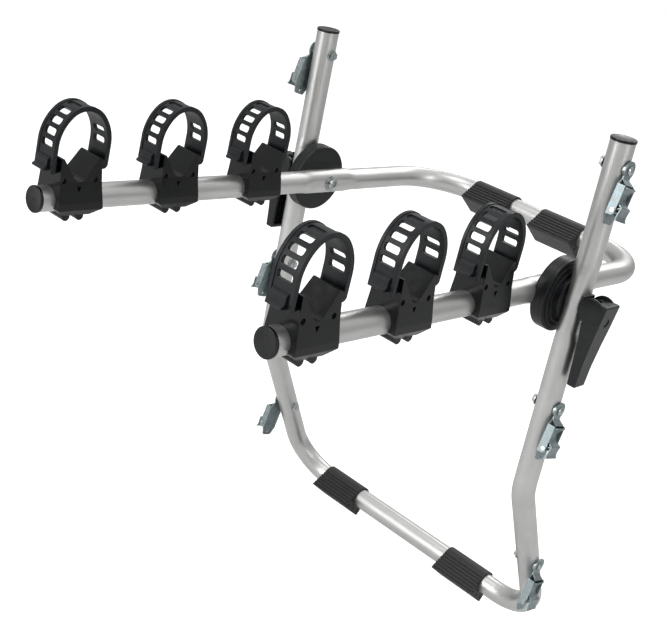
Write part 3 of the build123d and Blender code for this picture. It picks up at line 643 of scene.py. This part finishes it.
@dataclass
class ThreadRings:
    """Thread crests on the tails of a body's screws, in rows that run downwards."""

    name: str
    body: str
    tails: list[tuple[float, float, float]]
    radius: float = 2.4 * MM
    turn: tuple[float, float, float] = (0.0, 0.0, 0.0)
    count: int = 3
    pitch: float = -0.6 * MM
    ridge: float = 0.22 * MM

    def build(self, finish: bpy.types.Material) -> bpy.types.Object:
        """Set the rings and bake them.

        Args:
            finish: Material of the screws.

        Returns:
            The piece.
        """
        tree, names = ring_row_group()
        mesh = bpy.data.meshes.new(self.name)
        mesh.from_pydata(self.tails, [], [])
        piece = bpy.data.objects.new(self.name, mesh)
        bpy.context.scene.collection.objects.link(piece)
        modifier = piece.modifiers.new("rings", "NODES")
        modifier.node_group = tree
        values = {"Count": self.count, "Radius": self.radius, "Ridge": self.ridge,
                  "Pitch": self.pitch, "Turn": self.turn, "Finish": finish}
        for name, value in values.items():
            modifier[names[name]] = value
        bake(piece)
        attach(piece, self.body)
        LOG.info("piece %s rides on %s", self.name, self.body)
        return piece


def revolved(shape: bmesh.types.BMesh, profile: list[tuple[float, float]], centre: Vector,
             axis: Vector, steps: int) -> None:
    """Add a turned form to a mesh.

    Args:
        shape: Mesh that gets the form.
        profile: Places along the axis and radii, from axis to axis.
        centre: Point on the axis from which the places are measured.
        axis: Direction of the axis.
        steps: Number of facets around.
    """
    across = axis.orthogonal().normalized()
    other = axis.cross(across)
    rings = []
    for place, radius in profile:
        turns = [2 * math.pi * index / steps for index in range(steps)]
        rings.append([shape.verts.new(centre + axis * place + radius
                                      * (across * math.cos(turn) + other * math.sin(turn)))
                      for turn in turns])
    for lower, upper in zip(rings, rings[1:]):
        for index in range(steps):
            after = (index + 1) % steps
            shape.faces.new((lower[index], lower[after], upper[after], upper[index]))
    shape.faces.new(list(reversed(rings[0])))
    shape.faces.new(rings[-1])


def finished_mesh(name: str, shape: bmesh.types.BMesh, finish: bpy.types.Material
                  ) -> bpy.types.Mesh:
    """Close a mesh with outward normals, smooth shading between edges and its finish.

    Args:
        name: Name of the mesh.
        shape: Mesh in the making, which is freed.
        finish: Material of the mesh.

    Returns:
        The finished mesh.
    """
    bmesh.ops.recalc_face_normals(shape, faces=shape.faces)
    for face in shape.faces:
        face.smooth = True
    mesh = bpy.data.meshes.new(name)
    shape.to_mesh(mesh)
    shape.free()
    mesh.set_sharp_from_angle(angle=SHARP_ANGLE)
    mesh.materials.append(finish)
    return mesh


@dataclass
class LeverTrim:
    """Round cheeks on both sides of a cam lever's head."""

    side: Side
    pivot_x: float = 263.0 * MM
    cheek_radius: float = 16.6 * MM
    cheek_inner: float = 12.1 * MM
    cheek_outer: float = 15.35 * MM
    cheek_round: float = 1.1 * MM
    cheek_chamfer: float = 0.4 * MM
    round_angles: tuple[int, ...] = (0, 30, 60, 90)
    steps: int = 96

    def build(self, finish: bpy.types.Material) -> bpy.types.Object:
        """Build both cheeks as one piece on the lever.

        Args:
            finish: Material of the lever.

        Returns:
            The piece.
        """
        shape = bmesh.new()
        soft, rim = self.cheek_round, self.cheek_radius
        corner = [(self.cheek_outer - soft + soft * math.sin(turn),
                   rim - soft + soft * math.cos(turn))
                  for turn in map(math.radians, self.round_angles)]
        profile = [(self.cheek_inner, rim - soft),
                   (self.cheek_inner + self.cheek_chamfer, rim)] + corner
        centre = Vector((self.side.value * self.pivot_x, 0.0, 0.0))
        for facing in (-1, 1):
            revolved(shape, profile, centre, Vector((0.0, facing, 0.0)), self.steps)
        name = f"lever_cheeks_{self.side.word}"
        mesh = finished_mesh(name, shape, finish)
        return new_piece(name, mesh, f"cam_lever_{self.side.word}")


@dataclass
class BuckleSheet:
    """Sheet metal of one buckle: its tongue and its curved cam.

    Profiles are rows of rise above the plate, drop under the bolt and half width,
    in millimetres.
    """

    place: str
    side: Side
    plate_x: float = 253.6 * MM
    hang: float = math.radians(13.0)
    tongue_sheet: float = 1.5 * MM
    cam_sheet: float = 1.5 * MM
    pin_rise: float = 5.2
    pin_drop: float = 47.0
    barrel: float = 3.4 * MM
    barrel_half: float = 11.3 * MM
    barrel_steps: int = 32
    tongue: tuple[tuple[float, float, float], ...] = (
        (-0.6, 10.6, 7.8), (1.2, 12.0, 8.2), (3.4, 13.6, 8.6), (5.6, 15.2, 9.4),
        (7.4, 16.8, 10.6))
    plate: tuple[tuple[float, float, float], ...] = (
        (10.6, 18.6, 11.3), (7.6, 21.6, 11.3), (5.6, 25.0, 11.3), (4.6, 29.0, 11.3),
        (4.8, 33.0, 11.3), (6.2, 36.6, 11.3), (8.8, 39.2, 11.3), (13.6, 41.4, 11.3))
    lip: tuple[tuple[float, float, float], ...] = (
        (13.6, 41.4, 11.3), (13.0, 45.0, 11.3), (12.2, 50.0, 11.6), (12.4, 54.0, 12.2),
        (13.6, 57.0, 13.0))
    web: tuple[tuple[float, float, float], ...] = (
        (5.2, 47.0, 11.0), (9.0, 44.2, 11.0), (12.8, 42.2, 11.0))

    def point(self, rise: float, across: float, drop: float) -> Vector:
        """Place of a point of the hanging buckle in the frame of the rack.

        Args:
            rise: Distance from the plate in millimetres.
            across: Distance from the middle of the buckle in millimetres.
            drop: Distance under the bolt in millimetres.

        Returns:
            The place in metres.
        """
        _, bolt_y, bolt_z = BUCKLE_BOLTS[self.place]
        y = across * math.cos(self.hang) - drop * math.sin(self.hang)
        z = -across * math.sin(self.hang) - drop * math.cos(self.hang)
        return Vector((self.side.value * (self.plate_x + rise * MM),
                       (bolt_y + y) * MM, (bolt_z + z) * MM))

    def add_strip(self, shape: bmesh.types.BMesh, profile: tuple[tuple[float, float, float], ...],
                  thickness: float) -> None:
        """Add a bent strip of sheet to a mesh.

        Args:
            shape: Mesh that gets the strip.
            profile: Rows of rise, drop and half width along the middle of the sheet.
            thickness: Thickness of the sheet in metres.
        """
        rows = []
        for index, (rise, drop, half_width) in enumerate(profile):
            before = profile[max(index - 1, 0)]
            after = profile[min(index + 1, len(profile) - 1)]
            run = Vector((after[0] - before[0], after[1] - before[1])).normalized()
            corners = []
            for side in (-0.5, 0.5):
                shift = side * thickness / MM
                for share in (-1.0, 1.0) if side < 0 else (1.0, -1.0):
                    corners.append(shape.verts.new(self.point(
                        rise + run.y * shift, share * half_width, drop - run.x * shift)))
            rows.append(corners)
        for first, second in zip(rows, rows[1:]):
            for index in range(4):
                after = (index + 1) % 4
                shape.faces.new((first[index], first[after], second[after], second[index]))
        shape.faces.new(rows[0])
        shape.faces.new(list(reversed(rows[-1])))

    def build_tongue(self, finish: bpy.types.Material) -> bpy.types.Object:
        """Build the tongue pressed out of the frame above the cam.

        Args:
            finish: Material of the buckle sheet.

        Returns:
            The piece.
        """
        shape = bmesh.new()
        self.add_strip(shape, self.tongue, self.tongue_sheet)
        name = f"buckle_tongue_{self.place}_{self.side.word}"
        mesh = finished_mesh(name, shape, finish)
        return new_piece(name, mesh, f"buckle_{self.place}_{self.side.word}")

    def build_cam(self, finish: bpy.types.Material) -> bpy.types.Object:
        """Build the cam with its hollow plate, thumb lip, web and barrel.

        Args:
            finish: Material of the buckle sheet.

        Returns:
            The piece.
        """
        shape = bmesh.new()
        for profile in (self.plate, self.lip, self.web):
            self.add_strip(shape, profile, self.cam_sheet)
        centre = self.point(self.pin_rise, 0.0, self.pin_drop)
        axis = Vector((0.0, math.cos(self.hang), -math.sin(self.hang)))
        half = self.barrel_half
        revolved(shape, [(-half, self.barrel), (half, self.barrel)], centre, axis,
                 self.barrel_steps)
        cam = f"buckle_cam_{self.place}_{self.side.word}"
        name = f"curved_{cam}"
        piece = new_piece(name, finished_mesh(name, shape, finish), cam)
        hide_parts(cam)
        return piece


@dataclass
class RackTrim:
    """Small trim that stays out of the CAD: threads, lever cheeks and buckle sheet.

    The places of the cradle screws are in millimetres from the hub axis.
    """

    palette: Palette
    cradles_a_side: int = 3
    first_screw: float = 143.0
    cradle_pitch: float = 144.0
    screw_tail: float = -21.0

    def centre_of(self, name: str) -> Vector:
        """Middle of a CAD node's box at rest."""
        low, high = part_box(name)
        return (Vector(low) + Vector(high)) / 2

    def screw_tails(self) -> list[tuple[float, float, float]]:
        """Find the tails of the cradle screws.

        Returns:
            The place of each tail in metres.
        """
        return [(self.centre_of(f"cradle_base_{index + 1}_{side.word}").x,
                 -(self.first_screw + self.cradle_pitch * index) * MM, self.screw_tail * MM)
                for side in Side for index in range(self.cradles_a_side)]

    def build(self) -> None:
        """Build all trim."""
        ThreadRings("cradle_screw_threads", "arm_frame", self.screw_tails()
                    ).build(self.palette.bolt)
        for side in Side:
            LeverTrim(side).build(self.palette.lever_plastic)
            for place in BUCKLE_BOLTS:
                sheet = BuckleSheet(place, side)
                sheet.build_tongue(self.palette.sheet)
                sheet.build_cam(self.palette.sheet)


@dataclass
class Camera:
    """Camera at the photograph's viewing angle."""

    place: tuple[float, float, float] = (0.85623, -1.22275, 0.42834)
    azimuth: float = 39.08
    elevation: float = 18.49
    roll: float = 13.53
    lens: float = 64.25
    sensor_width: float = 36.0
    shift: tuple[float, float] = (-0.0037, -0.090)
    clip: tuple[float, float] = (0.01, 60.0)

    def build(self) -> bpy.types.Object:
        """Place the camera and make it the scene's own.

        Returns:
            The camera.
        """
        azimuth, elevation, roll = map(math.radians, (self.azimuth, self.elevation, self.roll))
        back = Vector((math.sin(azimuth) * math.cos(elevation),
                       -math.cos(azimuth) * math.cos(elevation), math.sin(elevation)))
        right = (-back).cross(Vector((0, 0, 1))).normalized()
        up = right.cross(-back)
        turned_right = right * math.cos(roll) + up * math.sin(roll)
        turned_up = up * math.cos(roll) - right * math.sin(roll)
        turn = Matrix((turned_right, turned_up, back)).transposed()
        data = bpy.data.cameras.new("camera")
        data.lens = self.lens
        data.sensor_width = self.sensor_width
        data.shift_x, data.shift_y = self.shift
        data.clip_start, data.clip_end = self.clip
        camera = bpy.data.objects.new("camera", data)
        camera.matrix_world = Matrix.Translation(self.place) @ turn.to_4x4()
        bpy.context.scene.collection.objects.link(camera)
        bpy.context.scene.camera = camera
        return camera


@dataclass
class SoftBox:
    """One large area light aimed at the rack."""

    name: str
    place: tuple[float, float, float]
    size: tuple[float, float]
    power: float
    aim: tuple[float, float, float] = (0.0, -0.1, -0.15)

    def build(self) -> bpy.types.Object:
        """Place the light.

        Returns:
            The light.
        """
        data = bpy.data.lights.new(self.name, "AREA")
        data.shape = "RECTANGLE"
        data.size, data.size_y = self.size
        data.energy = self.power
        light = bpy.data.objects.new(self.name, data)
        direction = Vector(self.aim) - Vector(self.place)
        turn = direction.to_track_quat("-Z", "Y").to_matrix().to_4x4()
        light.matrix_world = Matrix.Translation(self.place) @ turn
        bpy.context.scene.collection.objects.link(light)
        return light


@dataclass
class Studio:
    """Plain pale studio: floor, soft boxes and a tent around them."""

    floor_drop: float = 0.62
    floor_half: float = 12.0
    backdrop: str = "#FFFFFF"
    surround: float = 1.0
    zenith: str = "#E3E4E4"
    horizon: str = "#8A8A89"
    horizon_height: float = -0.1
    zenith_height: float = 0.8
    boxes: list[SoftBox] = field(default_factory=lambda: [
        SoftBox("key_box", (-0.9, -2.8, 0.9), (0.9, 2.6), 42.0),
        SoftBox("right_box", (2.9, -0.4, 0.9), (0.4, 2.4), 16.0),
        SoftBox("top_box", (-0.4, -0.6, 3.0), (1.8, 1.4), 20.0),
        SoftBox("back_box", (-0.6, 2.8, 2.0), (2.4, 0.8), 24.0),
    ])

    def build(self, finish: bpy.types.Material) -> None:
        """Build the floor, the lights and the surround.

        Args:
            finish: Material of the floor.
        """
        half = self.floor_half
        mesh = bpy.data.meshes.new("studio_floor")
        corners = [(-half, -half), (half, -half), (half, half), (-half, half)]
        mesh.from_pydata([(x, y, -self.floor_drop) for x, y in corners], [], [(0, 1, 2, 3)])
        mesh.materials.append(finish)
        floor = bpy.data.objects.new("studio_floor", mesh)
        bpy.context.scene.collection.objects.link(floor)
        for box in self.boxes:
            box.build()
        bpy.context.scene.world = self.build_surround()
        bpy.context.scene.view_settings.view_transform = "Standard"

    def build_surround(self) -> bpy.types.World:
        """White backdrop that lights the rack as a tent does, brighter from above.

        Returns:
            The world.
        """
        world = bpy.data.worlds.new("surround")
        world.use_nodes = True
        tree = world.node_tree
        tree.nodes.clear()
        place = add_node(tree, "ShaderNodeTexCoord").outputs["Generated"]
        height = add_node(tree, "ShaderNodeSeparateXYZ", {0: place}).outputs["Z"]
        share = add_node(tree, "ShaderNodeMapRange",
                         {"Value": height, "From Min": self.horizon_height,
                          "From Max": self.zenith_height})
        tent = add_node(tree, "ShaderNodeBackground", {
            "Color": mix_colours(tree, share.outputs["Result"], self.horizon, self.zenith),
            "Strength": self.surround})
        backdrop = add_node(tree, "ShaderNodeBackground",
                            {"Color": linear_colour(self.backdrop), "Strength": self.surround})
        seen = add_node(tree, "ShaderNodeLightPath").outputs["Is Camera Ray"]
        both = add_node(tree, "ShaderNodeMixShader",
                        {0: seen, 1: tent.outputs[0], 2: backdrop.outputs[0]})
        add_node(tree, "ShaderNodeOutputWorld", {"Surface": both.outputs[0]})
        return world


def main() -> None:
    """Build the scene class by class."""
    logging.basicConfig(level=logging.INFO, format="%(name)s: %(message)s")
    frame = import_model()
    palette = Palette()
    Camera().build()
    Studio().build(palette.floor)
    NodeDresser(frame["nodes"], palette).dress()
    RackTrim(palette).build()
    LOG.info("rack is dressed")


if __name__ == "__main__":
    main()
